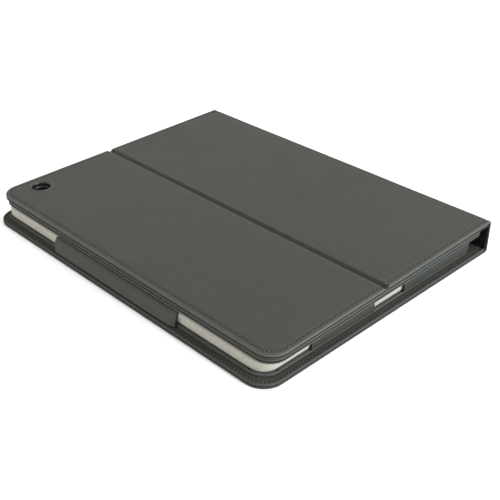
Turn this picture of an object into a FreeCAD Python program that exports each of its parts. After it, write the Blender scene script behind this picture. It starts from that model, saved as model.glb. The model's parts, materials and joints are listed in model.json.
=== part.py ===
import FreeCAD, Part
import math
import os

# A folio case for a tablet: two stiffened covers joined by a spine, with a tablet holder
# sewn to the half of the back cover nearest the spine.  The other half is a stand flap that
# folds up about a crease.  The case lies closed, front cover down.
# +X runs along the spine towards the dock end, +Y towards the spine, +Z up.
# The origin is under the middle of the closed case.  Sizes are in millimetres.

os.makedirs("parts", exist_ok=True)
V = FreeCAD.Vector

# --- what the case is made to hold -------------------------------------------------------
TABLET_LENGTH = 241.2
TABLET_WIDTH = 185.7
TABLET_THICK = 7.0        # thickness of the foam block that stands in for the tablet
TABLET_CORNER = 10.0
TABLET_EDGE = 2.0
SLIDE_GAP = 0.15          # clearance all round the tablet in its holder

# --- thicknesses -------------------------------------------------------------------------
FRONT_THICK = 3.3
BACK_THICK = 3.2
SPINE_THICK = 3.0
PLATE_THICK = 3.3
BEZEL_THICK = 1.25
WALL_THICK = 1.5
PLY = 0.85                # leather or lining over a board
THIN_PLY = 0.4            # leather or lining over the bezel stiffener

# --- gaps between pieces that move -------------------------------------------------------
COVER_GAP = 0.3           # front cover lining to holder bezel
FLAP_GAP = 0.7            # holder plate to back cover
HINGE_GAP = 0.3           # at each folding line
SPINE_CHANNEL = 4.45      # holder wall to the inside of the spine

# --- how the closed case rises towards the spine, in degrees -----------------------------
PLATE_LEAN = 0.65
BACK_LEAN = 0.95

# --- margins from the holder to the cover edges ------------------------------------------
MOUTH_MARGIN = 4.4
DOCK_MARGIN = 4.25
OPENING_MARGIN = 4.05
BACK_SETBACK = 5.2        # back cover stops short of the front cover at the opening edge
PLATE_SETBACK = 0.8       # holder plate inside the back cover outline
SPINE_SETBACK = 1.2       # holder plate short of the spine

# --- outlines ----------------------------------------------------------------------------
COVER_CORNER = 11.5
PLATE_SPINE_CORNER = 7.0
SQUARE = 0.0
EDGE_ROUND = 0.55         # outer edges of a cover
SEAM_ROUND = 0.25         # where the two plies meet at the edge
BOARD_INSET = 4.8         # board edge inside the seam
BOARD_FOLD_INSET = 1.2    # board edge at a folding line
BEZEL_WIDTH = 16.0
STIFFENER_INSET = 3.2

# --- crease ------------------------------------------------------------------------------
FLAP_SHARE = 0.4755       # stand flap depth as a share of the back cover
CREASE_HALF = 2.2
CREASE_DEPTH = 1.2

# --- cut-outs in the holder wall ----------------------------------------------------------
LEFT_CUT = 60.9           # along the opening edge, from the mouth end of the tablet
FRONT_CUT = 65.4          # along the opening edge, from the dock end of the tablet
FRONT_CUT_SIDE = 34.2     # along the dock edge, from the opening side of the tablet
DOCK_SLOT = 27.4
SPINE_WALL_START = 14.0   # spine wall from the mouth end of the tablet

# --- camera hole -------------------------------------------------------------------------
CAMERA_FROM_END = 13.0
CAMERA_FROM_OPENING = 24.5
CAMERA_HOLE = 14.2
PLATE_CAMERA_HOLE = 15.2
RING_WALL = 0.9
RING_SUNK = 0.2

# --- stitching ---------------------------------------------------------------------------
SEAM_INSET = 3.2
FRONT_SEAM_INSET = 2.3
THREAD_WIDE = 0.6
THREAD_DEEP = 0.4
SEAM_END = 2.5            # seam stops short of a folding line
WALL_SEAM_DROP = 2.4

# --- bonding patch between the back cover and the holder plate ---------------------------
PATCH_END_INSET = 16.0
PATCH_SIDE_INSET = 8.0

# --- derived positions, all from the sizes above --------------------------------------------
CASE_LENGTH = MOUTH_MARGIN + TABLET_LENGTH + SLIDE_GAP + WALL_THICK + DOCK_MARGIN
POCKET_WIDTH = TABLET_WIDTH + 2 * SLIDE_GAP
CASE_WIDTH = OPENING_MARGIN + POCKET_WIDTH + 2 * WALL_THICK + SPINE_CHANNEL + SPINE_THICK
X0 = -CASE_LENGTH / 2
X1 = CASE_LENGTH / 2
Y0 = -CASE_WIDTH / 2
Y1 = CASE_WIDTH / 2
SPINE_IN = Y1 - SPINE_THICK
COVER_END = SPINE_IN - HINGE_GAP
BACK_Y0 = Y0 + BACK_SETBACK
CREASE_Y = BACK_Y0 + FLAP_SHARE * (SPINE_IN - BACK_Y0)

FRONT_TOP = FRONT_THICK
BEZEL_Z = FRONT_TOP + COVER_GAP
POCKET_Z = BEZEL_Z + BEZEL_THICK
TABLET_Z = POCKET_Z + SLIDE_GAP
PLATE_Z = TABLET_Z + TABLET_THICK + SLIDE_GAP
PLATE_TOP = PLATE_Z + PLATE_THICK
BACK_Z = PLATE_TOP + FLAP_GAP
BACK_TOP = BACK_Z + BACK_THICK
BACK_RISE = math.radians(BACK_LEAN)
SPINE_TOP = BACK_TOP * math.cos(BACK_RISE) + (Y1 - BACK_Y0) * math.sin(BACK_RISE)

TAB_X0 = X0 + MOUTH_MARGIN
TAB_X1 = TAB_X0 + TABLET_LENGTH
TAB_Y0 = Y0 + OPENING_MARGIN + WALL_THICK + SLIDE_GAP
TAB_Y1 = TAB_Y0 + TABLET_WIDTH
CAM_X = X0 + CAMERA_FROM_END
CAM_Y = BACK_Y0 + CAMERA_FROM_OPENING
DOCK_MID = (TAB_Y0 + TAB_Y1) / 2 + 7.0
DOCK_SLOT_Y0 = DOCK_MID - DOCK_SLOT / 2
DOCK_SLOT_Y1 = DOCK_MID + DOCK_SLOT / 2


def outline(x0, x1, y0, y1, open_radius, spine_radius):
    """Flat outline at height 0 with its own radius at the opening and spine corners."""
    radii = [open_radius, open_radius, spine_radius, spine_radius]
    corners = [(x0, y0), (x1, y0), (x1, y1), (x0, y1)]
    ways = [((0, 1), (1, 0)), ((-1, 0), (0, 1)), ((0, -1), (-1, 0)), ((1, 0), (0, -1))]
    starts = []
    ends = []
    arcs = []
    for (cx, cy), (before, after), r in zip(corners, ways, radii):
        a = V(cx + before[0] * r, cy + before[1] * r, 0)
        b = V(cx + after[0] * r, cy + after[1] * r, 0)
        starts.append(a)
        ends.append(b)
        if r > 0:
            middle = V(cx + (before[0] + after[0]) * r, cy + (before[1] + after[1]) * r, 0)
            out = V(cx, cy, 0).sub(middle).normalize().multiply(r)
            arcs.append(Part.Arc(a, middle.add(out), b).toShape())
        else:
            arcs.append(None)
    edges = []
    for i in range(4):
        if arcs[i]:
            edges.append(arcs[i])
        edges.append(Part.makeLine(ends[i], starts[(i + 1) % 4]))
    return Part.Wire(edges)


def slab(x0, x1, y0, y1, z0, z1, open_radius=SQUARE, spine_radius=SQUARE):
    """Flat piece with rounded corners."""
    face = Part.Face(outline(x0, x1, y0, y1, open_radius, spine_radius))
    solid = face.extrude(V(0, 0, z1 - z0))
    solid.translate(V(0, 0, z0))
    return solid


def box(x0, x1, y0, y1, z0, z1):
    return Part.makeBox(x1 - x0, y1 - y0, z1 - z0, V(x0, y0, z0))


def rim(shape, z, radius, folds=()):
    """Round the edges at one height, leaving those that lie on a folding line."""
    picked = []
    for edge in shape.Edges:
        ends = [v.Point for v in edge.Vertexes]
        level = all(abs(p.z - z) < 1e-6 for p in ends)
        folded = any(all(abs(p.y - y) < 1e-6 for p in ends) for y in folds)
        if level and not folded:
            picked.append(edge)
    return shape.makeFillet(radius, picked)


def ply(x0, x1, y0, y1, z_face, z_seam, open_radius, spine_radius, folds):
    """Half of a cover: softly rounded on its face and slightly at the seam."""
    low = min(z_face, z_seam)
    high = max(z_face, z_seam)
    body = slab(x0, x1, y0, y1, low, high, open_radius, spine_radius)
    body = rim(body, z_face, EDGE_ROUND, folds)
    return rim(body, z_seam, SEAM_ROUND, folds)


def seam_track(x0, x1, y0, y1, corner, z0, z1, inset=SEAM_INSET):
    """A flat loop of thread, following the outline a seam inset inside it."""
    half = THREAD_WIDE / 2
    big = inset - half
    small = inset + half
    outer = slab(x0 + big, x1 - big, y0 + big, y1, z0, z1, corner - big)
    inner = slab(x0 + small, x1 - small, y0 + small, y1 + 1, z0 - 1, z1 + 1, corner - small)
    return outer.cut(inner)


def side_threads(x0, x1, y0, y1, z0, z1):
    """Two straight runs of thread, one beside each end of a cover."""
    half = THREAD_WIDE / 2
    left = box(x0 + SEAM_INSET - half, x0 + SEAM_INSET + half, y0, y1, z0, z1)
    right = box(x1 - SEAM_INSET - half, x1 - SEAM_INSET + half, y0, y1, z0, z1)
    return Part.makeCompound([left, right])


def hole(x, y, diameter, z0, z1):
    return Part.makeCylinder(diameter / 2, z1 - z0 + 2, V(x, y, z0 - 1))


def save(name, shape, lean=0.0):
    """Write one piece, turned up about the opening edge of the back cover by its lean."""
    placed = shape.copy()
    placed.rotate(V(0, BACK_Y0, 0), V(1, 0, 0), lean)
    placed.exportStep("parts/" + name + ".step")


def front_cover():
    """Outer leather, board, lining and the two threads of the edge seam."""
    seam = FRONT_THICK / 2
    fold = (COVER_END,)
    skin = ply(X0, X1, Y0, COVER_END, 0, seam, COVER_CORNER, SQUARE, fold)
    lining = ply(X0, X1, Y0, COVER_END, FRONT_TOP, seam, COVER_CORNER, SQUARE, fold)
    inset = BOARD_INSET
    board = slab(X0 + inset, X1 - inset, Y0 + inset, COVER_END - BOARD_FOLD_INSET,
                 PLY, FRONT_TOP - PLY, COVER_CORNER - inset, SQUARE)
    track_end = COVER_END - SEAM_END
    top = seam_track(X0, X1, Y0, track_end, COVER_CORNER, FRONT_TOP - THREAD_DEEP, FRONT_TOP,
                     FRONT_SEAM_INSET)
    under = seam_track(X0, X1, Y0, track_end, COVER_CORNER, 0, THREAD_DEEP, FRONT_SEAM_INSET)
    save("front_cover_skin", skin.cut(board).cut(under))
    save("front_cover_board", board)
    save("front_cover_lining", lining.cut(board).cut(top))
    save("front_cover_top_thread", top)
    save("front_cover_bobbin_thread", under)


def spine():
    """Upright strip along the back of the closed case."""
    seam = Y1 - SPINE_THICK / 2
    board = box(X0 + BOARD_INSET, X1 - BOARD_INSET, SPINE_IN + PLY, Y1 - PLY,
                BOARD_FOLD_INSET, SPINE_TOP - BOARD_FOLD_INSET)
    skin = box(X0, X1, seam, Y1, 0, SPINE_TOP)
    lining = box(X0, X1, SPINE_IN, seam, 0, SPINE_TOP)
    ends = [e for e in skin.Edges if abs(e.BoundBox.ZLength - SPINE_TOP) < 1e-6]
    outer = [e for e in ends if abs(e.BoundBox.YMin - Y1) < 1e-6]
    skin = skin.makeFillet(EDGE_ROUND, outer)
    save("spine_skin", skin.cut(board))
    save("spine_board", board)
    save("spine_lining", lining.cut(board))


def tongues(y0, y1):
    """The thin folding strips of leather and lining beside the crease."""
    skin_top = BACK_TOP - CREASE_DEPTH
    skin_low = skin_top - PLY
    leather = box(X0, X1, y0, y1, skin_low, skin_top)
    lining = box(X0, X1, y0, y1, BACK_Z, skin_low)
    return leather, lining


def back_panel():
    """The half of the back cover nearest the spine."""
    y0 = CREASE_Y + CREASE_HALF
    seam = BACK_Z + BACK_THICK / 2
    fold = (y0, COVER_END)
    skin = ply(X0, X1, y0, COVER_END, BACK_TOP, seam, SQUARE, SQUARE, fold)
    lining = ply(X0, X1, y0, COVER_END, BACK_Z, seam, SQUARE, SQUARE, fold)
    board = box(X0 + BOARD_INSET, X1 - BOARD_INSET, y0 + BOARD_FOLD_INSET,
                COVER_END - BOARD_FOLD_INSET, BACK_Z + PLY, BACK_TOP - PLY)
    strip, under_strip = tongues(CREASE_Y + HINGE_GAP / 2, y0 + BOARD_FOLD_INSET)
    skin = skin.fuse(strip.cut(lining)).removeSplitter()
    lining = lining.fuse(under_strip).cut(strip).removeSplitter()
    start = y0 + SEAM_END
    end = COVER_END - SEAM_END
    top = side_threads(X0, X1, start, end, BACK_TOP - THREAD_DEEP, BACK_TOP)
    under = side_threads(X0, X1, start, end, BACK_Z, BACK_Z + THREAD_DEEP)
    save("back_panel_skin", skin.cut(board).cut(top), BACK_LEAN)
    save("back_panel_board", board, BACK_LEAN)
    save("back_panel_lining", lining.cut(board).cut(under).cut(skin), BACK_LEAN)
    save("back_panel_top_thread", top, BACK_LEAN)
    save("back_panel_bobbin_thread", under, BACK_LEAN)


def stand_flap():
    """The free half of the back cover, with the camera hole."""
    y1 = CREASE_Y - CREASE_HALF
    seam = BACK_Z + BACK_THICK / 2
    fold = (y1,)
    skin = ply(X0, X1, BACK_Y0, y1, BACK_TOP, seam, COVER_CORNER, SQUARE, fold)
    lining = ply(X0, X1, BACK_Y0, y1, BACK_Z, seam, COVER_CORNER, SQUARE, fold)
    inset = BOARD_INSET
    window = hole(CAM_X, CAM_Y, CAMERA_HOLE, BACK_Z, BACK_TOP)
    board = slab(X0 + inset, X1 - inset, BACK_Y0 + inset, y1 - BOARD_FOLD_INSET,
                 BACK_Z + PLY, BACK_TOP - PLY, COVER_CORNER - inset, SQUARE)
    strip, under_strip = tongues(y1 - BOARD_FOLD_INSET, CREASE_Y - HINGE_GAP / 2)
    skin = skin.fuse(strip.cut(lining)).removeSplitter()
    lining = lining.fuse(under_strip).cut(strip).removeSplitter()
    end = y1 - SEAM_END
    top = seam_track(X0, X1, BACK_Y0, end, COVER_CORNER, BACK_TOP - THREAD_DEEP, BACK_TOP)
    under = seam_track(X0, X1, BACK_Y0, end, COVER_CORNER, BACK_Z, BACK_Z + THREAD_DEEP)
    ring_outer = Part.makeCylinder(CAMERA_HOLE / 2, BACK_THICK - RING_SUNK, V(CAM_X, CAM_Y, BACK_Z))
    ring = ring_outer.cut(hole(CAM_X, CAM_Y, CAMERA_HOLE - 2 * RING_WALL, BACK_Z, BACK_TOP))
    save("stand_flap_skin", skin.cut(board).cut(window).cut(top), BACK_LEAN)
    save("stand_flap_board", board.cut(window), BACK_LEAN)
    save("stand_flap_lining", lining.cut(board).cut(window).cut(under).cut(skin), BACK_LEAN)
    save("stand_flap_top_thread", top, BACK_LEAN)
    save("stand_flap_bobbin_thread", under, BACK_LEAN)
    save("stand_flap_camera_ring", ring, BACK_LEAN)


def holder_plate():
    """Stiff back of the tablet holder, and the patch that bonds it to the back cover."""
    x0 = X0 + PLATE_SETBACK
    x1 = X1 - PLATE_SETBACK
    y0 = BACK_Y0 + PLATE_SETBACK
    y1 = SPINE_IN - SPINE_SETBACK
    corner = COVER_CORNER - PLATE_SETBACK
    seam = PLATE_Z + PLATE_THICK / 2
    window = hole(CAM_X, CAM_Y, PLATE_CAMERA_HOLE, PLATE_Z, PLATE_TOP)
    skin = ply(x0, x1, y0, y1, PLATE_TOP, seam, corner, PLATE_SPINE_CORNER, ())
    lining = ply(x0, x1, y0, y1, PLATE_Z, seam, corner, PLATE_SPINE_CORNER, ())
    inset = BOARD_INSET
    spine_corner = max(PLATE_SPINE_CORNER - inset, EDGE_ROUND)
    board = slab(x0 + inset, x1 - inset, y0 + inset, y1 - inset,
                 PLATE_Z + PLY, PLATE_TOP - PLY, corner - inset, spine_corner)
    ring = Part.makeCylinder(PLATE_CAMERA_HOLE / 2, PLATE_THICK, V(CAM_X, CAM_Y, PLATE_Z))
    ring = ring.cut(hole(CAM_X, CAM_Y, PLATE_CAMERA_HOLE - 2 * RING_WALL, PLATE_Z, PLATE_TOP))
    save("holder_plate_skin", skin.cut(board).cut(window), PLATE_LEAN)
    save("holder_plate_board", board.cut(window), PLATE_LEAN)
    save("holder_plate_lining", lining.cut(board).cut(window), PLATE_LEAN)
    save("holder_plate_camera_ring", ring, PLATE_LEAN)


def leaned_height(z, y, lean):
    """Height that a level z reaches at y once it is leaned."""
    rise = math.radians(lean)
    return z / math.cos(rise) + (y - BACK_Y0) * math.tan(rise)


def bond_patch():
    """Tapered patch that fills the space between the holder plate and the back panel."""
    x0 = X0 + PLATE_SETBACK + PATCH_END_INSET
    y0 = CREASE_Y + CREASE_HALF + PATCH_SIDE_INSET
    y1 = SPINE_IN - SPINE_SETBACK - PATCH_SIDE_INSET
    low0 = V(x0, y0, leaned_height(PLATE_TOP, y0, PLATE_LEAN))
    low1 = V(x0, y1, leaned_height(PLATE_TOP, y1, PLATE_LEAN))
    high1 = V(x0, y1, leaned_height(BACK_Z, y1, BACK_LEAN))
    high0 = V(x0, y0, leaned_height(BACK_Z, y0, BACK_LEAN))
    face = Part.Face(Part.makePolygon([low0, low1, high1, high0, low0]))
    save("holder_bond_patch", face.extrude(V(-2 * x0, 0, 0)))


def pocket_outline(grow, z0, z1):
    """Block following the tablet outline, grown sideways by one amount."""
    return slab(TAB_X0 - grow, TAB_X1 + grow, TAB_Y0 - grow, TAB_Y1 + grow, z0, z1,
                TABLET_CORNER + grow, TABLET_CORNER + grow)


def wall_seam(y0, y1):
    """Straight run of thread sunk in the outside of the dock wall."""
    face = TAB_X1 + SLIDE_GAP + WALL_THICK
    z = PLATE_Z - WALL_SEAM_DROP
    run = box(face - THREAD_DEEP, face, y0 + SEAM_END, y1 - SEAM_END, z, z + THREAD_WIDE)
    run.rotate(V(0, BACK_Y0, 0), V(1, 0, 0), PLATE_LEAN)
    return run


def holder_walls():
    """Strips of wall round the tablet, with gaps at the corners and the dock socket."""
    far = CASE_LENGTH
    above = SPINE_TOP
    outer = pocket_outline(SLIDE_GAP + WALL_THICK, POCKET_Z, above)
    ring = outer.cut(pocket_outline(SLIDE_GAP, POCKET_Z - 1, above + 1))
    plate = box(-far, far, -far, far, PLATE_Z, PLATE_Z + 2 * above)
    plate.rotate(V(0, BACK_Y0, 0), V(1, 0, 0), PLATE_LEAN)
    ring = ring.cut(plate)
    tall = (POCKET_Z - 1, above)
    opening = ring.common(box(TAB_X0 + LEFT_CUT, TAB_X1 - FRONT_CUT, -far, TAB_Y0 + 1, *tall))
    dock = ring.common(box(TAB_X1 - 1, far, TAB_Y0 + FRONT_CUT_SIDE, DOCK_SLOT_Y0, *tall))
    dock_zone = box(TAB_X1 - TABLET_CORNER, far, DOCK_SLOT_Y1, far, *tall)
    spine_zone = box(TAB_X0 + SPINE_WALL_START, far, TAB_Y1 - TABLET_CORNER, far, *tall)
    rear = ring.common(dock_zone.fuse(spine_zone))
    near_seam = wall_seam(TAB_Y0 + FRONT_CUT_SIDE, DOCK_SLOT_Y0)
    rear_seam = wall_seam(DOCK_SLOT_Y1, TAB_Y1 - TABLET_CORNER)
    save("holder_opening_wall", opening)
    save("holder_dock_wall", dock.cut(near_seam))
    save("holder_spine_wall", rear.cut(rear_seam))
    save("holder_wall_thread", Part.makeCompound([near_seam, rear_seam]))


def frame_ring(outer_grow, inner_shrink, z0, z1):
    outer = pocket_outline(outer_grow, z0, z1)
    return outer.cut(slab(TAB_X0 + inner_shrink, TAB_X1 - inner_shrink, TAB_Y0 + inner_shrink,
                          TAB_Y1 - inner_shrink, z0 - 1, z1 + 1, EDGE_ROUND + SEAM_INSET,
                          EDGE_ROUND + SEAM_INSET))


def holder_bezel():
    """Frame under the edges of the tablet screen."""
    grow = SLIDE_GAP + WALL_THICK
    seam = BEZEL_Z + BEZEL_THICK / 2
    stiffener = frame_ring(grow - STIFFENER_INSET, BEZEL_WIDTH - STIFFENER_INSET,
                           BEZEL_Z + THIN_PLY, POCKET_Z - THIN_PLY)
    leather = frame_ring(grow, BEZEL_WIDTH, BEZEL_Z, seam)
    lining = frame_ring(grow, BEZEL_WIDTH, seam, POCKET_Z)
    save("holder_bezel_leather", leather.cut(stiffener))
    save("holder_bezel_stiffener", stiffener)
    save("holder_bezel_lining", lining.cut(stiffener))


def packing_insert():
    """Foam block in the holder in place of a tablet."""
    block = pocket_outline(0, TABLET_Z, TABLET_Z + TABLET_THICK)
    block = rim(block, TABLET_Z, TABLET_EDGE)
    save("packing_insert", rim(block, TABLET_Z + TABLET_THICK, TABLET_EDGE))


front_cover()
spine()
back_panel()
stand_flap()
holder_plate()
bond_patch()
holder_walls()
holder_bezel()
packing_insert()
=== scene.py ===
import json
import math
import bpy
import bmesh
from mathutils import Matrix, Vector, noise
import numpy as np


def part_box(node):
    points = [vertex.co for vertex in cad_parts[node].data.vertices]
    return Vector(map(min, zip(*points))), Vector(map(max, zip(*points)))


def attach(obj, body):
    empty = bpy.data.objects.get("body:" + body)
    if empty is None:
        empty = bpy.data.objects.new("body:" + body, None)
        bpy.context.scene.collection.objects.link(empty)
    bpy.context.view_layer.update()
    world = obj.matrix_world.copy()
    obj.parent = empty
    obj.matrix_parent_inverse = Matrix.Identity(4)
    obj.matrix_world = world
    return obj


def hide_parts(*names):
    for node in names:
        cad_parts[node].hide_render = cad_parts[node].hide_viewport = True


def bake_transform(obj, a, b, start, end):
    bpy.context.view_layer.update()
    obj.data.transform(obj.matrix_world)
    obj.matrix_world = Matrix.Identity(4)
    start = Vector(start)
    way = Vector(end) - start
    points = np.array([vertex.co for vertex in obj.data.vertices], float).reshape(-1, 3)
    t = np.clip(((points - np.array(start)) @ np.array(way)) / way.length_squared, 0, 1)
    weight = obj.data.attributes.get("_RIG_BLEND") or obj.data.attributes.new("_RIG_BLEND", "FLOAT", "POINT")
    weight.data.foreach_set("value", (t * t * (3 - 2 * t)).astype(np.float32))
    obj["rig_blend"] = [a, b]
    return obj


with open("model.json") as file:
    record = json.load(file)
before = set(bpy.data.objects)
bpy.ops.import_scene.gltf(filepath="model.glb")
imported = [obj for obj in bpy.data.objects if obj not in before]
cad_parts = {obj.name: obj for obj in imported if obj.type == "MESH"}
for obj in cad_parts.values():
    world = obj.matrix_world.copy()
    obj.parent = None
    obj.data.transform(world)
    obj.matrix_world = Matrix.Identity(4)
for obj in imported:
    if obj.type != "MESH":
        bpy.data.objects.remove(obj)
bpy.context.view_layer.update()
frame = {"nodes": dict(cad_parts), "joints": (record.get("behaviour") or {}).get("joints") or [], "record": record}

# A folio case for a tablet, lying closed with its front cover down.
# Every leather part is made of two plies, cut flat, sewn at the edge and folded at the spine.

MM = 0.001

# --- camera ---------------------------------------------------------------------------
CAMERA_TURN = math.radians(45.931)
CAMERA_RISE = math.radians(31.073)
CAMERA_TILT = math.radians(-0.016)
CAMERA_AWAY = 546.606 * MM
CAMERA_AIM = Vector((27.414, -22.242, 10.0)) * MM
CAMERA_LENS = 64.438
CAMERA_SHIFT = (0.022, 0.0)


def set_camera():
    """Camera turned round the case, raised, and looking at one point of it."""
    back = Vector((math.sin(CAMERA_TURN) * math.cos(CAMERA_RISE),
                   -math.cos(CAMERA_TURN) * math.cos(CAMERA_RISE), math.sin(CAMERA_RISE)))
    right = Vector((0, 0, 1)).cross(back).normalized()
    up = back.cross(right)
    roll = Matrix.Rotation(CAMERA_TILT, 3, back)
    right = roll @ right
    up = roll @ up
    data = bpy.data.cameras.new("camera")
    data.lens = CAMERA_LENS
    data.sensor_width = 36.0
    data.shift_x, data.shift_y = CAMERA_SHIFT
    data.clip_start = 0.01
    camera = bpy.data.objects.new("camera", data)
    bpy.context.scene.collection.objects.link(camera)
    turn = Matrix((right, up, back)).transposed()
    camera.matrix_world = Matrix.Translation(CAMERA_AIM + back * CAMERA_AWAY) @ turn.to_4x4()
    bpy.context.scene.camera = camera


set_camera()

# --- sizes read from the frame --------------------------------------------------------
cover_low, cover_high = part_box("front_cover_skin")
_, lining_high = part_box("front_cover_lining")
_, spine_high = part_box("spine_skin")
inner_low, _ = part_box("spine_lining")
plate_low, plate_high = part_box("holder_plate_skin")
plate_under_low, plate_under_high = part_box("holder_plate_lining")
opening_low, opening_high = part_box("holder_opening_wall")
dock_low, dock_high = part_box("holder_dock_wall")
rear_low, rear_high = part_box("holder_spine_wall")
bezel_low, bezel_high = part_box("holder_bezel_leather")
bezel_top_low, bezel_top_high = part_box("holder_bezel_lining")
insert_low, insert_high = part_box("packing_insert")
camera_low, camera_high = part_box("stand_flap_camera_ring")
plate_ring_low, plate_ring_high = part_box("holder_plate_camera_ring")
joints = {joint["name"]: joint for joint in frame["joints"]}

BACK_SETBACK = 5.2 * MM
LEFT = cover_low.x
RIGHT = cover_high.x
FRONT_EDGE = cover_low.y
BACK_EDGE = cover_low.y + BACK_SETBACK
SPINE_OUT = spine_high.y
SPINE_IN = inner_low.y
TOP = spine_high.z
FRONT_TOP = lining_high.z
BACK_TOP = 19.35 * MM
BACK_UNDER = 16.15 * MM
PLATE_UNDER = 12.15 * MM
PLATE_TOP = 15.45 * MM
PLATE_LEAN = math.radians(0.65)
CREASE = joints["crease_fold"]["pos_m"][1]
HALF_SPINE = TOP / 2
UNDER_AT_SPINE = TOP - BACK_TOP + BACK_UNDER

COVER_CORNER = 11.5 * MM
FRONT_CORNER = 13.0 * MM
PLY = 1.58 * MM
EDGE_ROUND = 0.75 * MM
SEAM_ROUND = 0.42 * MM
POCKET_INSET = 4.8 * MM
POCKET_DEEP = 0.65 * MM
BACK_SEAM = 3.2 * MM
FRONT_SEAM = 2.3 * MM
STITCH_PITCH = 2.3 * MM
FOLD_OUT = 2.2 * MM
FOLD_IN = 1.0 * MM
CREASE_HALF = 2.8 * MM
CREASE_DEEP = 1.6 * MM
CREASE_CLEAR = 8 * MM
SPLIT = CREASE + 4.2 * MM
ROW_STEP = 11 * MM
FOLD_CLEAR = 9 * MM
STITCH_LONG = 1.6 * MM
STITCH_WIDE = 0.24 * MM
STITCH_DEEP = 0.2 * MM
STITCH_SUNK = 0.3 * MM
STITCH_SIDES = {"u_segments": 7, "v_segments": 6, "radius": 1.0}
TABLET_CORNER = 10.0 * MM
PLATE_CORNER = COVER_CORNER - 0.8 * MM
PLATE_TRIM_DOCK = 0.9 * MM
PLATE_TRIM_OPENING = 0.5 * MM
PLATE_ROUND = 0.7 * MM
PLATE_FAR_CORNER = 7 * MM
PLATE_STEP = 14 * MM
BEZEL_WIDE = 16 * MM
BEZEL_TRIM = 0.5 * MM
BEZEL_ROUND = 0.22 * MM
BEZEL_INNER_CORNER = 3.5 * MM
BEZEL_STEP = 12 * MM
WALL_ROUND = 0.45 * MM
WALL_STEP = 1.1 * MM
RING_STEPS = 56
SMOOTH = 38.0
HAIR = 1e-7


def back_lift(y):
    """How far the leaning back cover has risen at y."""
    share = (y - BACK_EDGE) / (SPINE_OUT - FOLD_OUT - BACK_EDGE)
    return (TOP - BACK_TOP) * min(1.0, share)


def plate_lift(y):
    """How far the leaning holder back has risen at y."""
    return (y - BACK_EDGE) * math.tan(PLATE_LEAN)


def lean(bm, lift):
    for vert in bm.verts:
        vert.co.z += lift(vert.co.y)


# --- finishes -------------------------------------------------------------------------
BLACK = (0, 0, 0, 1)
WHITE = (1, 1, 1, 1)
# Colour of painted shade, laid where shade falls: gaps, joints, grooves and hollows.
SHADE_COLOUR = (0.004, 0.004, 0.0035, 1)


class Dial:
    """A value on its way through a finish; sums on dials become Math nodes."""

    def __init__(self, finish, socket):
        self.finish = finish
        self.socket = socket

    def sum(self, operation, first, second):
        return self.finish.add("ShaderNodeMath", {"operation": operation}, {0: first, 1: second})

    def __add__(self, other):
        return self.sum("ADD", self, other)

    def __radd__(self, other):
        return self.sum("ADD", other, self)

    def __sub__(self, other):
        return self.sum("SUBTRACT", self, other)

    def __rsub__(self, other):
        return self.sum("SUBTRACT", other, self)

    def __mul__(self, other):
        return self.sum("MULTIPLY", self, other)

    def __rmul__(self, other):
        return self.sum("MULTIPLY", other, self)


class Finish:
    """One material, built node by node."""

    def __init__(self, name):
        self.material = bpy.data.materials.new(name)
        self.material.use_nodes = True
        self.tree = self.material.node_tree
        self.tree.nodes.clear()

    def add(self, kind, settings, values, out=0):
        node = self.tree.nodes.new(kind)
        for key, value in settings.items():
            if key == "stops":
                for stop, (position, colour) in zip(node.color_ramp.elements, value):
                    stop.position, stop.color = position, colour
            else:
                setattr(node, key, value)
        for key, value in values.items():
            if isinstance(value, Dial):
                self.tree.links.new(value.socket, node.inputs[key])
            else:
                node.inputs[key].default_value = value
        return Dial(self, node.outputs[out]) if node.outputs else None

    def place(self):
        return self.add("ShaderNodeTexCoord", {}, {}, out="Object")

    def speckle(self, where, size, detail=2.0, rough=0.5):
        """Soft noise with features of one size, in metres."""
        return self.add("ShaderNodeTexNoise", {},
                        {"Vector": where, "Scale": 1.0 / size, "Detail": detail,
                         "Roughness": rough})

    def pebbles(self, where, size):
        """Rounded cells of one size, in metres."""
        return self.add("ShaderNodeTexVoronoi", {}, {"Vector": where, "Scale": 1.0 / size})

    def ramp(self, value, start, end, colours=(BLACK, WHITE)):
        """Fade from the first colour to the second between two values."""
        stops = ((start, colours[0]), (end, colours[1]))
        return self.add("ShaderNodeValToRGB", {"stops": stops}, {0: value})

    def blend_colours(self, share, first, second):
        return self.add("ShaderNodeMix", {"data_type": "RGBA"},
                        {0: share, 6: first, 7: second}, out=2)

    def bump(self, height, distance, strength=1.0):
        return self.add("ShaderNodeBump", {},
                        {"Height": height, "Distance": distance, "Strength": strength})

    def seal(self, **values):
        """Close the material with one shader, its sockets named with underlines for spaces."""
        named = {key.replace("_", " "): value for key, value in values.items()}
        shader = self.add("ShaderNodeBsdfPrincipled", {}, named)
        self.add("ShaderNodeOutputMaterial", {}, {"Surface": shader})
        return self.material


def attribute(finish, name):
    """What is painted on the piece under that name."""
    return finish.add("ShaderNodeAttribute", {"attribute_name": name}, {}, out="Fac")


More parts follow.
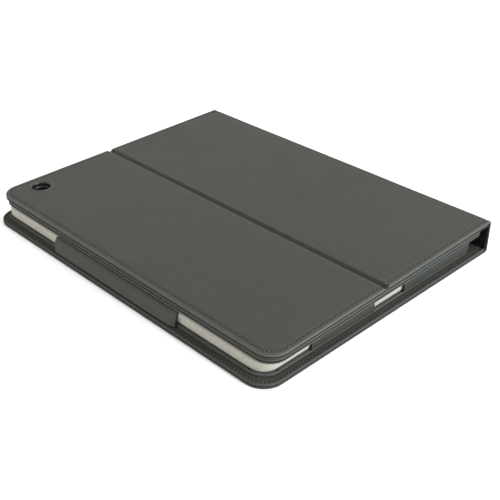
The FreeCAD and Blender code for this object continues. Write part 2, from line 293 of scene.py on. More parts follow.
def leather_finish():
    """Olive-grey leather with a fine pebbled grain; paler along its edges, partly as wear and partly as a painted
    highlight, with painted shade in gaps, grooves and hollows.
    """
    it = Finish("leather")
    where = it.place()
    cells = it.pebbles(where, 1.15 * MM)
    fine = it.speckle(where, 0.45 * MM, 3.0, 0.6)
    cloud = it.ramp(it.speckle(where, 26 * MM, 4.0, 0.6), 0.34, 0.66)
    scuff = it.speckle(where, 9 * MM, 5.0, 0.7)
    rub = it.ramp(scuff, 0.58, 0.78)
    wear = attribute(it, "wear")
    shade = attribute(it, "shade")
    mottle = it.ramp(it.speckle(where, 2.6 * MM, 6.0, 0.8), 0.38, 0.64)
    base = it.blend_colours(cloud, (0.027, 0.0295, 0.0235, 1), (0.0385, 0.0415, 0.0335, 1))
    brown = it.ramp(it.speckle(where, 60 * MM, 4.0, 0.6), 0.42, 0.62)
    base = it.blend_colours(brown * 0.7, base, (0.034, 0.0318, 0.0245, 1))
    base = it.blend_colours(rub * 0.14, base, (0.085, 0.087, 0.077, 1))
    base = it.blend_colours(mottle * 0.3, base, (0.056, 0.059, 0.049, 1))
    # Paler rims: part real edge wear, part painted highlight.
    base = it.blend_colours(wear * (0.35 + scuff * 0.5), base, (0.125, 0.13, 0.123, 1))
    base = it.blend_colours(cells * 0.3, base, (0.022, 0.024, 0.019, 1))
    # Painted shade: darkened where the shade attribute marks gaps, joints, grooves and hollows.
    base = it.blend_colours(shade, base, SHADE_COLOUR)
    height = fine * 0.45 - cells * 0.9
    return it.seal(Base_Color=base, Roughness=0.5 + cloud * 0.12 - wear * 0.08,
                   Normal=it.bump(height, 0.07 * MM, 0.3), Specular_IOR_Level=0.2)


def suede_finish():
    """Dark brushed lining with a short uneven nap, paler on its rims as wear and a painted highlight, with painted
    shade in gaps and hollows.
    """
    it = Finish("lining")
    where = it.place()
    nap = it.speckle(where, 0.35 * MM, 4.0, 0.7)
    patch = it.speckle(where, 14 * MM, 3.0, 0.6)
    base = it.blend_colours(patch, (0.022, 0.023, 0.0195, 1), (0.036, 0.037, 0.032, 1))
    base = it.blend_colours(nap * 0.5, base, (0.06, 0.06, 0.052, 1))
    # Paler rims: part real edge wear, part painted highlight.
    base = it.blend_colours(attribute(it, "wear") * 0.6, base, (0.115, 0.12, 0.113, 1))
    # Painted shade where the shade attribute marks gaps, joints and hollows.
    base = it.blend_colours(attribute(it, "shade"), base, SHADE_COLOUR)
    return it.seal(Base_Color=base, Roughness=0.86 + nap * 0.1,
                   Normal=it.bump(nap + patch * 0.4, 0.18 * MM, 0.7), Specular_IOR_Level=0.08)


def thread_finish():
    """Twisted polyester thread, a little paler than the leather."""
    it = Finish("thread")
    where = it.place()
    strand = it.speckle(where, 0.25 * MM, 2.0, 0.5)
    base = it.blend_colours(strand, (0.05, 0.051, 0.045, 1), (0.11, 0.112, 0.102, 1))
    return it.seal(Base_Color=base, Roughness=0.55 + strand * 0.2,
                   Normal=it.bump(strand, 0.08 * MM, 0.6))


def foam_finish():
    """Cream packing foam: closed cells, faint pits and a few knocks."""
    it = Finish("foam")
    where = it.place()
    cells = it.speckle(where, 1.3 * MM, 5.0, 0.8)
    pits = it.ramp(it.pebbles(where, 2.1 * MM), 0.05, 0.24, (WHITE, BLACK))
    stain = it.speckle(where, 18 * MM, 4.0, 0.6)
    dots = it.ramp(cells, 0.48, 0.6)
    base = it.blend_colours(stain, (0.30, 0.29, 0.245, 1), (0.375, 0.365, 0.325, 1))
    base = it.blend_colours(pits * 0.4 + dots * 0.6, base, (0.22, 0.205, 0.165, 1))
    return it.seal(Base_Color=base, Roughness=0.78 + cells * 0.15,
                   Normal=it.bump(cells - pits * 0.5, 0.25 * MM, 0.8), Specular_IOR_Level=0.25)


def ring_finish():
    """Polished black moulding with hairline marks."""
    it = Finish("ring")
    where = it.place()
    marks = it.speckle(where, 0.6 * MM, 5.0, 0.8)
    base = it.blend_colours(marks, (0.006, 0.006, 0.007, 1), (0.016, 0.016, 0.017, 1))
    return it.seal(Base_Color=base, Roughness=0.16 + marks * 0.14,
                   Normal=it.bump(marks, 0.01 * MM, 0.3))


def board_finish():
    """Grey bookbinding board with pressed fibres."""
    it = Finish("board")
    where = it.place()
    fibre = it.speckle(where, 0.8 * MM, 5.0, 0.75)
    base = it.blend_colours(fibre, (0.20, 0.19, 0.16, 1), (0.36, 0.34, 0.30, 1))
    return it.seal(Base_Color=base, Roughness=0.85 + fibre * 0.1,
                   Normal=it.bump(fibre, 0.06 * MM, 0.5))


def stiffener_finish():
    """Thin dark plastic sheet."""
    it = Finish("stiffener")
    where = it.place()
    frost = it.speckle(where, 0.4 * MM, 3.0, 0.6)
    base = it.blend_colours(frost, (0.03, 0.03, 0.031, 1), (0.055, 0.055, 0.055, 1))
    return it.seal(Base_Color=base, Roughness=0.42 + frost * 0.18,
                   Normal=it.bump(frost, 0.02 * MM, 0.4))


def patch_finish():
    """Plain-woven bonding cloth."""
    it = Finish("patch")
    where = it.place()
    threads = {"Vector": where, "Scale": 320.0}
    across = it.add("ShaderNodeTexWave", {"bands_direction": "X"}, threads)
    along = it.add("ShaderNodeTexWave", {"bands_direction": "Y"}, threads)
    weave = across * along
    base = it.blend_colours(weave, (0.03, 0.03, 0.027, 1), (0.075, 0.075, 0.068, 1))
    return it.seal(Base_Color=base, Roughness=0.9 - weave * 0.1,
                   Normal=it.bump(weave, 0.12 * MM, 0.6))


FINISHES = {
    "leather": leather_finish(), "lining": suede_finish(), "thread": thread_finish(),
    "foam": foam_finish(), "ring": ring_finish(), "board": board_finish(),
    "stiffener": stiffener_finish(), "patch": patch_finish(),
}


# --- workbench ------------------------------------------------------------------------
def everything(bm):
    return bm.verts[:] + bm.edges[:] + bm.faces[:]


def cut_across(bm, axis, places):
    """Cut lines across the whole piece at given places along one axis."""
    normal = Vector((axis == "x", axis == "y", axis == "z"))
    for place in places:
        bmesh.ops.bisect_plane(bm, geom=everything(bm), dist=HAIR, plane_co=normal * place,
                               plane_no=normal)


def close_up(bm):
    """Fill any open end and turn every face outward."""
    rim = [edge for edge in bm.edges if edge.is_boundary]
    if rim:
        bmesh.ops.holes_fill(bm, edges=rim, sides=0)
    bmesh.ops.recalc_face_normals(bm, faces=bm.faces)


def trim(bm, y, keep_below=True):
    """Cut the piece off square at y."""
    away = Vector((0, 1 if keep_below else -1, 0))
    bmesh.ops.bisect_plane(bm, geom=everything(bm), dist=HAIR, plane_co=(0, y, 0), plane_no=away,
                           clear_outer=True)
    close_up(bm)


def spread(low, high, step):
    """Even places between two ends, about one step apart."""
    count = max(1, round((high - low) / step))
    return [low + (high - low) * i / count for i in range(1, count)]


def rectangle(bm, x0, x1, y0, y1, z, near_radius, far_radius=0.0, steps=10):
    """One flat face with rounded corners."""
    corners = bmesh.ops.create_grid(bm, x_segments=1, y_segments=1, size=1.0)["verts"]
    for vert in corners:
        vert.co = Vector((x0 if vert.co.x < 0 else x1, y0 if vert.co.y < 0 else y1, z))
    middle = (y0 + y1) / 2
    for radius, chosen in ((near_radius, [v for v in corners if v.co.y < middle]),
                           (far_radius, [v for v in corners if v.co.y > middle])):
        if radius > 0:
            bmesh.ops.bevel(bm, geom=chosen, offset=radius, offset_type="OFFSET", segments=steps,
                            profile=0.5, affect="VERTICES", material=-1, clamp_overlap=False)
    bm.faces.ensure_lookup_table()
    return bm.faces[0]


def raise_face(bm, faces, height):
    """Pull flat faces up into a solid slab."""
    made = bmesh.ops.extrude_face_region(bm, geom=faces)["geom"]
    lifted = [g for g in made if isinstance(g, bmesh.types.BMVert)]
    bmesh.ops.translate(bm, vec=(0, 0, height), verts=lifted)
    close_up(bm)


def widest(bm, up):
    """The largest face that looks up (1) or down (-1)."""
    return max((f for f in bm.faces if f.normal.z * up > 0.9), key=lambda f: f.calc_area())


def soften(bm, edges, radius, steps):
    """Round off the given edges."""
    bmesh.ops.bevel(bm, geom=edges, offset=radius, offset_type="OFFSET", segments=steps,
                    profile=0.5, affect="EDGES", material=-1, clamp_overlap=True)


def sharp_edges(bm, level):
    """Right-angled edges that lie at one height."""
    found = []
    for edge in bm.edges:
        if len(edge.link_faces) == 2 and edge.calc_face_angle(0) > math.radians(60):
            if all(abs(v.co.z - level) < HAIR for v in edge.verts):
                found.append(edge)
    return found


def to_piece(bm, name, slot, smooth=SMOOTH):
    """Finished mesh, in place, with its finish."""
    bmesh.ops.remove_doubles(bm, verts=bm.verts, dist=HAIR)
    bmesh.ops.recalc_face_normals(bm, faces=bm.faces)
    mesh = bpy.data.meshes.new(name)
    bm.to_mesh(mesh)
    bm.free()
    piece = bpy.data.objects.new(name, mesh)
    bpy.context.scene.collection.objects.link(piece)
    mesh.materials.append(FINISHES[slot])
    mesh.polygons.foreach_set("use_smooth", [True] * len(mesh.polygons))
    mesh.set_sharp_from_angle(angle=math.radians(smooth))
    return piece


def punch(piece, x, y, diameter):
    """Round hole straight through a piece."""
    bm = bmesh.new()
    bmesh.ops.create_cone(bm, cap_ends=True, segments=RING_STEPS, radius1=diameter / 2,
                          radius2=diameter / 2, depth=0.1,
                          matrix=Matrix.Translation((x, y, BACK_UNDER)))
    mesh = bpy.data.meshes.new("punch")
    bm.to_mesh(mesh)
    bm.free()
    tool = bpy.data.objects.new("punch", mesh)
    bpy.context.scene.collection.objects.link(tool)
    bite = piece.modifiers.new("punch", "BOOLEAN")
    bite.operation = "DIFFERENCE"
    bite.solver = "EXACT"
    bite.object = tool
    seen = piece.evaluated_get(bpy.context.evaluated_depsgraph_get())
    punched = bpy.data.meshes.new_from_object(seen)
    piece.modifiers.clear()
    piece.data = punched
    bpy.data.objects.remove(tool)
    punched.set_sharp_from_angle(angle=math.radians(SMOOTH))


# --- covers ---------------------------------------------------------------------------
def from_edge(point, x0, x1, y0, radius):
    """Distance in from an outline with rounded corners at its near end."""
    across = min(point.x - x0, x1 - point.x)
    along = point.y - y0
    if across < radius and along < radius:
        return radius - math.hypot(radius - across, radius - along)
    return min(across, along)


def paint_edges(bm, x0, x1, y0, radius, seam, gap_shade, rim_wear_and_highlight=1.0):
    """Paint the rim paler, as wear and a painted highlight, and paint shade into the joint between plies, the
    stitching groove and the gaps between parts.
    """
    rim_wide = 1.2 * MM
    gap_wide = 6 * MM
    joint_wide = 1.5 * MM
    joint_high = 0.4 * MM
    wear = bm.verts.layers.float.new("wear")
    shade = bm.verts.layers.float.new("shade")
    for vert in bm.verts:
        inside = from_edge(vert.co, x0, x1, y0, radius)
        rim = max(0.0, 1.0 - inside / rim_wide)
        if vert.co.z > PLY * 0.45:
            # Rim: wear and a painted highlight.
            vert[wear] = rim * rim_wear_and_highlight
            # Painted shade in the stitching groove.
            if seam and -0.45 * MM < inside - seam < 0.3 * MM:
                vert[shade] = 0.8
            # Painted shade on the face that lies in a gap against another part.
            if vert.co.z > PLY * 0.6 and inside < gap_wide:
                vert[shade] = max(vert[shade], gap_shade)
        # Painted shade in the joint between the plies.
        elif inside < joint_wide:
            vert[shade] = max(0.0, 1.0 - vert.co.z / joint_high)


def ply(x0, x1, y0, far, radius, seam, rows, gap_shade, rim_wear_and_highlight):
    """One ply cut flat: seam side down at height 0, finished side up, far end cut square.

    The sewn edge is pressed down along the seam, and the back is recessed for the board.
    """
    run_on = 14 * MM
    column_step = 9 * MM
    calm_edge = 5 * MM
    calm_fade = 9 * MM
    lump_high = 0.16 * MM
    groove = ((seam - EDGE_ROUND - 0.8 * MM, 0.05 * MM), (0.45 * MM, -0.42 * MM),
              (0.5 * MM, -0.02 * MM), (0.5 * MM, 0.32 * MM), (1.3 * MM, 0.07 * MM))
    bm = bmesh.new()
    face = rectangle(bm, x0, x1, y0, far + run_on, 0, radius)
    raise_face(bm, [face], PLY)
    soften(bm, list(widest(bm, 1).edges), EDGE_ROUND, 4)
    soften(bm, list(widest(bm, -1).edges), SEAM_ROUND, 2)
    shown = widest(bm, 1)
    for width, lift in groove:
        bmesh.ops.inset_region(bm, faces=[shown], thickness=width, depth=lift,
                               use_even_offset=True, use_boundary=True)
    hidden = widest(bm, -1)
    bmesh.ops.inset_region(bm, faces=[hidden], thickness=POCKET_INSET - SEAM_ROUND, depth=0,
                           use_even_offset=True, use_boundary=True)
    bmesh.ops.inset_region(bm, faces=[hidden], thickness=0.1 * MM, depth=-POCKET_DEEP,
                           use_even_offset=True, use_boundary=True)
    trim(bm, far)
    cut_across(bm, "x", spread(x0, x1, column_step))
    cut_across(bm, "y", rows)
    paint_edges(bm, x0, x1, y0, radius, seam, gap_shade, rim_wear_and_highlight)
    for vert in bm.verts:
        inside = min(vert.co.x - x0, x1 - vert.co.x, vert.co.y - y0)
        lump = noise.noise(Vector((vert.co.x * 21, vert.co.y * 21, radius * 900 + seam * 500)))
        calm = min(1.0, max(0.0, (inside - calm_edge) / calm_fade))
        if vert.co.z > PLY * 0.5:
            vert.co.z += lump * calm * lump_high
    return bm


def lay(bm, seam_z, up):
    """Put the flat ply at its height, finished side up or down."""
    for vert in bm.verts:
        vert.co.z = seam_z + vert.co.z if up else seam_z - vert.co.z
    bmesh.ops.recalc_face_normals(bm, faces=bm.faces)


def fold_at_spine(bm, centre_y, centre_depth, radius, top, painted_shade=0.0):
    """Fold the far end of a ply round into the spine, and paint shade on the folded part."""
    quarter = radius * math.pi / 2
    shade = bm.verts.layers.float["shade"]
    for vert in bm.verts:
        past = vert.co.y - centre_y
        if past <= 0:
            continue
        # Painted shade inside the spine hollow.
        vert[shade] = max(vert[shade], painted_shade)
        depth = TOP - vert.co.z if top else vert.co.z
        reach = centre_depth - depth
        angle = min(past / radius, math.pi / 2)
        on = max(0.0, past - quarter)
        y = centre_y + reach * math.sin(angle)
        depth = centre_depth - reach * math.cos(angle) + on
        vert.co.y = y
        vert.co.z = TOP - depth if top else depth
    bmesh.ops.recalc_face_normals(bm, faces=bm.faces)


def fold_rows(centre, radius, far):
    """Close cut lines where a ply bends round the spine."""
    quarter = radius * math.pi / 2
    rows = [centre + quarter * i / 8 for i in range(9)]
    rows += [centre - step * MM for step in (1, 2, 3, 4.5, 6, 8)]
    rows += [centre + quarter + step * MM for step in (0.7, 1.5, 2.5, 3.5, 5)]
    return [row for row in rows if row < far - 0.1 * MM]


def far_end(centre, radius, centre_depth):
    """Flat length at which a folded ply ends in the middle of the spine."""
    return centre + radius * math.pi / 2 + HALF_SPINE - centre_depth


OUT_CENTRE = SPINE_OUT - FOLD_OUT
OUT_FAR = far_end(OUT_CENTRE, FOLD_OUT, FOLD_OUT)
IN_CENTRE = SPINE_IN - FOLD_IN
FRONT_IN_FAR = far_end(IN_CENTRE, FOLD_IN, FRONT_TOP + FOLD_IN)
BACK_IN_FAR = far_end(IN_CENTRE, FOLD_IN, BACK_TOP - BACK_UNDER + FOLD_IN)


def front_cover():
    """Both plies of the front cover, each folded up into the spine."""
    rows = spread(FRONT_EDGE, OUT_CENTRE - FOLD_CLEAR, ROW_STEP)
    bm = ply(LEFT, RIGHT, FRONT_EDGE, OUT_FAR, FRONT_CORNER, FRONT_SEAM,
             rows + fold_rows(OUT_CENTRE, FOLD_OUT, OUT_FAR), 0.0, 0.3)
    lay(bm, PLY, False)
    fold_at_spine(bm, OUT_CENTRE, FOLD_OUT, FOLD_OUT, False)
    outer = to_piece(bm, "front_cover_leather", "leather")
    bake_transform(outer, "front_cover", "spine", start=(0, SPINE_OUT - 4.3 * MM, 0),
             end=(0, SPINE_OUT, 4.5 * MM))
    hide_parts("front_cover_skin", "spine_skin")
    bm = ply(LEFT, RIGHT, FRONT_EDGE, FRONT_IN_FAR, FRONT_CORNER, FRONT_SEAM,
             rows + fold_rows(IN_CENTRE, FOLD_IN, FRONT_IN_FAR), 0.0, 0.35)
    lay(bm, FRONT_TOP - PLY, True)
    fold_at_spine(bm, IN_CENTRE, FRONT_TOP + FOLD_IN, FOLD_IN, False, 0.85)
    inner = to_piece(bm, "front_cover_suede", "lining")
    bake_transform(inner, "front_cover", "spine", start=(0, SPINE_IN - 3.2 * MM, FRONT_TOP),
             end=(0, SPINE_IN, FRONT_TOP + 3.2 * MM))
    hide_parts("front_cover_lining", "spine_lining")


def press_crease(bm, outer):
    """Press the folding groove across both plies.

    Shade is painted on the groove's far slope and a highlight on its near one.
    """
    dark_at, dark_half, painted_shade = 0.45, 0.55, 0.42
    pale_at, pale_half, pale = -0.75, 0.5, 0.4
    skin_dip = 0.4 * MM
    under_rise = 0.35 * MM
    under_dip = 0.75 * MM
    shade = bm.verts.layers.float["shade"]
    wear = bm.verts.layers.float["wear"]
    for vert in bm.verts:
        side = (vert.co.y - CREASE) / CREASE_HALF
        along = abs(side)
        # Painted shade on the far slope.
        if outer and abs(side - dark_at) < dark_half:
            slope = math.cos((side - dark_at) / dark_half * math.pi / 2)
            vert[shade] = max(vert[shade], painted_shade * slope)
        # Painted highlight on the near slope.
        if outer and abs(side - pale_at) < pale_half:
            slope = math.cos((side - pale_at) / pale_half * math.pi / 2)
            vert[wear] = max(vert[wear], pale * slope)
        if along >= 1:
            continue
        share = math.cos(along * math.pi / 2) ** 2
        if outer:
            inside = (vert.co.z - (BACK_TOP - PLY)) / PLY
            vert.co.z -= share * (skin_dip + (CREASE_DEEP - skin_dip) * max(0.0, min(1.0, inside)))
        else:
            inside = (vert.co.z - BACK_UNDER) / PLY
            vert.co.z += share * (under_rise - under_dip * max(0.0, min(1.0, inside)))
    bmesh.ops.recalc_face_normals(bm, faces=bm.faces)


def back_ply(outer):
    """Whole back cover ply, opening edge to mid spine, in place."""
    centre = OUT_CENTRE if outer else IN_CENTRE
    radius = FOLD_OUT if outer else FOLD_IN
    depth = FOLD_OUT if outer else BACK_TOP - BACK_UNDER + FOLD_IN
    far = OUT_FAR if outer else BACK_IN_FAR
    rows = spread(BACK_EDGE, CREASE - CREASE_CLEAR, ROW_STEP)
    rows += spread(CREASE + CREASE_CLEAR, centre - FOLD_CLEAR, ROW_STEP)
    rows += [CREASE + step * 0.42 * MM for step in range(-14, 15)]
    rows += [SPLIT] + fold_rows(centre, radius, far)
    # The lining ply gets painted shade where it lies over the holder; rims get wear and a painted highlight.
    bm = ply(LEFT, RIGHT, BACK_EDGE, far, COVER_CORNER, BACK_SEAM, rows,
             0.0 if outer else 0.93, 0.65)
    if outer:
        lay(bm, BACK_TOP - PLY, True)
    else:
        lay(bm, BACK_UNDER + PLY, False)
    press_crease(bm, outer)
    lean(bm, back_lift)
    return bm, centre, depth, radius


def back_cover():
    """Both plies of the back cover, parted just past the crease."""
    for outer, slot, word in ((True, "leather", "leather"), (False, "lining", "suede")):
        skin = "skin" if outer else "lining"
        bm, centre, depth, radius = back_ply(outer)
        trim(bm, SPLIT, keep_below=True)
        flap = to_piece(bm, "stand_flap_" + word, slot)
        middle = (camera_low + camera_high) / 2
        punch(flap, middle.x, middle.y, camera_high.x - camera_low.x)
        height = BACK_TOP + back_lift(CREASE) - CREASE_DEEP
        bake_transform(flap, "back_panel", "stand_flap", start=(0, CREASE + 2.3 * MM, height),
                 end=(0, CREASE - 2.3 * MM, height))
        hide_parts("stand_flap_" + skin)
        bm, centre, depth, radius = back_ply(outer)
        trim(bm, SPLIT, keep_below=False)
        fold_at_spine(bm, centre, depth, radius, True, 0.0 if outer else 0.85)
        panel = to_piece(bm, "back_panel_" + word, slot)
        if outer:
            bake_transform(panel, "spine", "back_panel", start=(0, SPINE_OUT, TOP - 4.5 * MM),
                     end=(0, SPINE_OUT - 4.3 * MM, TOP))
        else:
            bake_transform(panel, "spine", "back_panel", start=(0, SPINE_IN, UNDER_AT_SPINE - 3.2 * MM),
                     end=(0, SPINE_IN - 3.2 * MM, UNDER_AT_SPINE))
        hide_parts("back_panel_" + skin, "spine_" + skin)


# --- stitching ------------------------------------------------------------------------
def seam_places(x0, x1, y0, y_end, inset, radius):
    """Evenly spaced stitches round three sides: position and heading of each."""
    small = radius - inset
    straight = y_end - y0 - radius
    arc = small * math.pi / 2
    middle = x1 - x0 - 2 * radius
    total = 2 * straight + 2 * arc + middle
    count = round(total / STITCH_PITCH)
    places = []
    for i in range(count):
        s = (i + 0.5) * total / count
        if s < straight:
            places.append((x0 + inset, y_end - s, -math.pi / 2))
        elif s < straight + arc:
            a = (s - straight) / small
            places.append((x0 + radius - small * math.cos(a), y0 + radius - small * math.sin(a),
                           a - math.pi / 2))
        elif s < straight + arc + middle:
            places.append((x0 + radius + s - straight - arc, y0 + inset, 0.0))
        elif s < straight + 2 * arc + middle:
            a = (s - straight - arc - middle) / small
            places.append((x1 - radius + small * math.sin(a), y0 + radius - small * math.cos(a), a))
        else:
            s -= straight + 2 * arc + middle
            places.append((x1 - inset, y0 + radius + s, math.pi / 2))
    return places


def line_places(start, end):
    """Evenly spaced stitches along a straight line: position and heading of each."""
    way = Vector(end) - Vector(start)
    count = max(1, round(way.length / STITCH_PITCH))
    heading = math.atan2(way.y, way.x)
    spots = [Vector(start) + way * ((i + 0.5) / count) for i in range(count)]
    return [(spot.x, spot.y, heading) for spot in spots]


def stitches(name, body, places, z, nodes, lift=None):
    """Each stitch is one short slanted bead of thread pulled into the leather."""
    bm = bmesh.new()
    for i, (x, y, heading) in enumerate(places):
        slant = math.radians(6 + 3 * math.sin(i * 1.7))
        size = 1 + 0.06 * math.sin(i * 2.3)
        shape = Matrix.Diagonal((STITCH_LONG * size / 2, STITCH_WIDE, STITCH_DEEP, 1))
        rise = lift(y) if lift else 0.0
        spot = Matrix.Translation((x, y, z + rise)) @ Matrix.Rotation(heading + slant, 4, "Z")
        bmesh.ops.create_uvsphere(bm, matrix=spot @ shape, **STITCH_SIDES)
    piece = to_piece(bm, name, "thread", 80)
    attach(piece, body)
    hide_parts(*nodes)


def sew_covers():
    """Rows of stitches on both sides of every sewn cover."""
    stop = 3.4 * MM
    front_end = SPINE_OUT - 7 * MM
    around = seam_places(LEFT, RIGHT, FRONT_EDGE, front_end, FRONT_SEAM, FRONT_CORNER)
    stitches("front_cover_inner_stitches", "front_cover", around, FRONT_TOP - STITCH_SUNK,
             ["front_cover_top_thread"])
    stitches("front_cover_outer_stitches", "front_cover", around, 0.26 * MM,
             ["front_cover_bobbin_thread"])
    around = seam_places(LEFT, RIGHT, BACK_EDGE, CREASE - stop, BACK_SEAM, COVER_CORNER)
    stitches("stand_flap_outer_stitches", "stand_flap", around, BACK_TOP - STITCH_SUNK,
             ["stand_flap_top_thread"], back_lift)
    stitches("stand_flap_inner_stitches", "stand_flap", around, BACK_UNDER + STITCH_SUNK,
             ["stand_flap_bobbin_thread"], back_lift)
    sides = []
    for x in (LEFT + BACK_SEAM, RIGHT - BACK_SEAM):
        sides += line_places((x, CREASE + stop, 0), (x, SPINE_OUT - 6 * MM, 0))
    for x in (LEFT + BACK_SEAM, RIGHT - BACK_SEAM):
        sides += [(x, CREASE + stop - step * MM, 0.0) for step in (0.0, 0.45, 0.9)]
    stitches("back_panel_outer_stitches", "back_panel", sides, BACK_TOP - STITCH_SUNK,
             ["back_panel_top_thread"], back_lift)
    stitches("back_panel_inner_stitches", "back_panel", sides, BACK_UNDER + STITCH_SUNK,
             ["back_panel_bobbin_thread"], back_lift)


# --- holder ---------------------------------------------------------------------------
def strip(bm, corners, moves, painted_shade=True):
    """Sweep a rounded section: straight runs and turns, one after another."""
    verts = bmesh.ops.create_grid(bm, x_segments=1, y_segments=1, size=1.0)["verts"]
    low, high = corners
    for vert in verts:
        across = high if vert.co.x > 0 else low
        vert.co = Vector((across[0], across[1], high[2] if vert.co.y > 0 else low[2]))
    bmesh.ops.bevel(bm, geom=verts, offset=WALL_ROUND, offset_type="OFFSET", segments=3,
                    profile=0.5, affect="VERTICES", material=-1, clamp_overlap=True)
    bm.faces.ensure_lookup_table()
    face = bm.faces[0]
    started = False
    for kind, how, steps in moves:
        for _ in range(steps):
            behind = face
            made = bmesh.ops.extrude_face_region(bm, geom=[face])["geom"]
            face = [g for g in made if isinstance(g, bmesh.types.BMFace)][0]
            if started and behind.is_valid:
                bmesh.ops.delete(bm, geom=[behind], context="FACES_ONLY")
            started = True
            if kind == "run":
                bmesh.ops.translate(bm, vec=Vector(how) / steps, verts=face.verts[:])
            else:
                centre, angle = how
                bmesh.ops.rotate(bm, cent=centre, matrix=Matrix.Rotation(angle / steps, 3, "Z"),
                                 verts=face.verts[:])
    close_up(bm)
    low_z, high_z = low[2], high[2]
    cut_across(bm, "z", spread(low_z, high_z, WALL_STEP))
    # Painted shade on the walls, darkest in their top quarter under the plate.
    shade = bm.verts.layers.float.new("shade")
    for vert in bm.verts:
        share = (vert.co.z - low_z) / (high_z - low_z)
        vert[shade] = 0.4 + 0.5 * max(0.0, share * 4 - 3) if painted_shade else 0.0
        vert.co.z = low_z + share * (PLATE_UNDER + plate_lift(vert.co.y) - low_z)


def opening_wall():
    """Wall along the opening edge; it flares outward towards its foot."""
    flare_inside, flare_more, flare_bend = 1.9, 1.1, 1.25
    end_ease = 4 * MM
    ripple_deep = 0.22 * MM
    foot_drop = 0.85 * MM
    bm = bmesh.new()
    start = (opening_low.x, opening_low.y, opening_low.z)
    end = (opening_low.x, opening_high.y, opening_high.z)
    length = opening_high.x - opening_low.x
    strip(bm, (start, end), [("run", (length, 0, 0), 30)], False)
    height = opening_high.z - opening_low.z
    for vert in bm.verts:
        t = (vert.co.z - opening_low.z) / height
        outside = (opening_high.y - vert.co.y) / (opening_high.y - opening_low.y)
        from_end = min(vert.co.x - opening_low.x, opening_high.x - vert.co.x) / end_ease
        ease = 0.45 + 0.55 * math.sin(min(1.0, max(0.0, from_end)) * math.pi / 2)
        flare = (1 - t) ** flare_bend * (flare_inside + flare_more * outside) * MM
        ripple = noise.noise(Vector((vert.co.x * 16, t * 0.5, 3.1))) * ripple_deep
        tuck = t ** 6 * (1.0 + 0.6 * outside) * MM
        vert.co.y += tuck - (flare + ripple * (1 - t)) * ease
        vert.co.z -= (1 - t) * foot_drop
    piece = to_piece(bm, "holder_opening_leather", "leather")
    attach(piece, "back_panel")
    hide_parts("holder_opening_wall")


def dock_wall():
    """Short wall beside the dock slot, on its opening side."""
    bm = bmesh.new()
    low = (dock_low.x, dock_low.y, dock_low.z)
    high = (dock_high.x, dock_low.y, dock_high.z)
    strip(bm, (low, high), [("run", (0, dock_high.y - dock_low.y, 0), 14)])
    piece = to_piece(bm, "holder_dock_leather", "leather")
    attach(piece, "back_panel")
    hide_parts("holder_dock_wall")


def rear_wall():
    """Wall from the dock slot round the corner and along the spine side."""
    radius = insert_corner()
    slot_end = rear_low_y_at_dock()
    bm = bmesh.new()
    low = (rear_high.x - (dock_high.x - dock_low.x), slot_end, rear_low.z)
    high = (rear_high.x, slot_end, rear_high.z)
    centre = Vector((rear_high.x - radius, rear_high.y - radius, 0))
    strip(bm, (low, high), [
        ("run", (0, centre.y - slot_end, 0), 14), ("turn", (centre, math.pi / 2), 10),
        ("run", (rear_low.x - centre.x, 0, 0), 30)])
    piece = to_piece(bm, "holder_rear_leather", "leather")
    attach(piece, "back_panel")
    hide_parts("holder_spine_wall")


def insert_corner():
    """Outside corner radius of the holder wall."""
    return TABLET_CORNER + (dock_high.x - insert_high.x)


def rear_low_y_at_dock():
    """Where the rear wall starts beside the dock slot."""
    node = frame["nodes"]["holder_spine_wall"]
    edge = rear_high.x - 0.2 * MM
    return min(v.co.y for v in node.data.vertices if v.co.x > edge)


def frame_piece(name, slot, low, high, radius, width, nodes):
    """Flat picture-frame ply with softened edges, trimmed at its dock and opening sides."""
    pale_rim_wide = 0.5 * MM
    dark_wide = 3 * MM
    bm = bmesh.new()
    x0, x1, y0, y1 = low.x, high.x - BEZEL_TRIM, low.y + BEZEL_TRIM, high.y
    rectangle(bm, x0, x1, y0, y1, low.z, radius, radius)
    rectangle(bm, x0 + width, x1 - width, y0 + width, y1 - width, low.z,
              BEZEL_INNER_CORNER, BEZEL_INNER_CORNER)
    bmesh.ops.delete(bm, geom=bm.faces[:], context="FACES_ONLY")
    bmesh.ops.bridge_loops(bm, edges=bm.edges[:])
    made = bmesh.ops.extrude_face_region(bm, geom=bm.faces[:])["geom"]
    lifted = [g for g in made if isinstance(g, bmesh.types.BMVert)]
    bmesh.ops.translate(bm, vec=(0, 0, high.z - low.z), verts=lifted)
    bmesh.ops.recalc_face_normals(bm, faces=bm.faces)
    soften(bm, sharp_edges(bm, low.z) + sharp_edges(bm, high.z), BEZEL_ROUND, 3)
    cut_across(bm, "x", spread(low.x, high.x, BEZEL_STEP))
    cut_across(bm, "y", spread(low.y, high.y, BEZEL_STEP))
    wear = bm.verts.layers.float.new("wear")
    shade = bm.verts.layers.float.new("shade")
    # Outer edge paler, as wear and a painted highlight; the band just inside it gets painted shade beside the
    # insert.
    for vert in bm.verts:
        inside = from_edge(vert.co, x0, x1, y0, radius)
        vert[wear] = 0.5 if inside < pale_rim_wide else 0.0
        vert[shade] = 0.85 if pale_rim_wide < inside < dark_wide else 0.0
    piece = to_piece(bm, name, slot)
    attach(piece, "back_panel")
    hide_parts(*nodes)


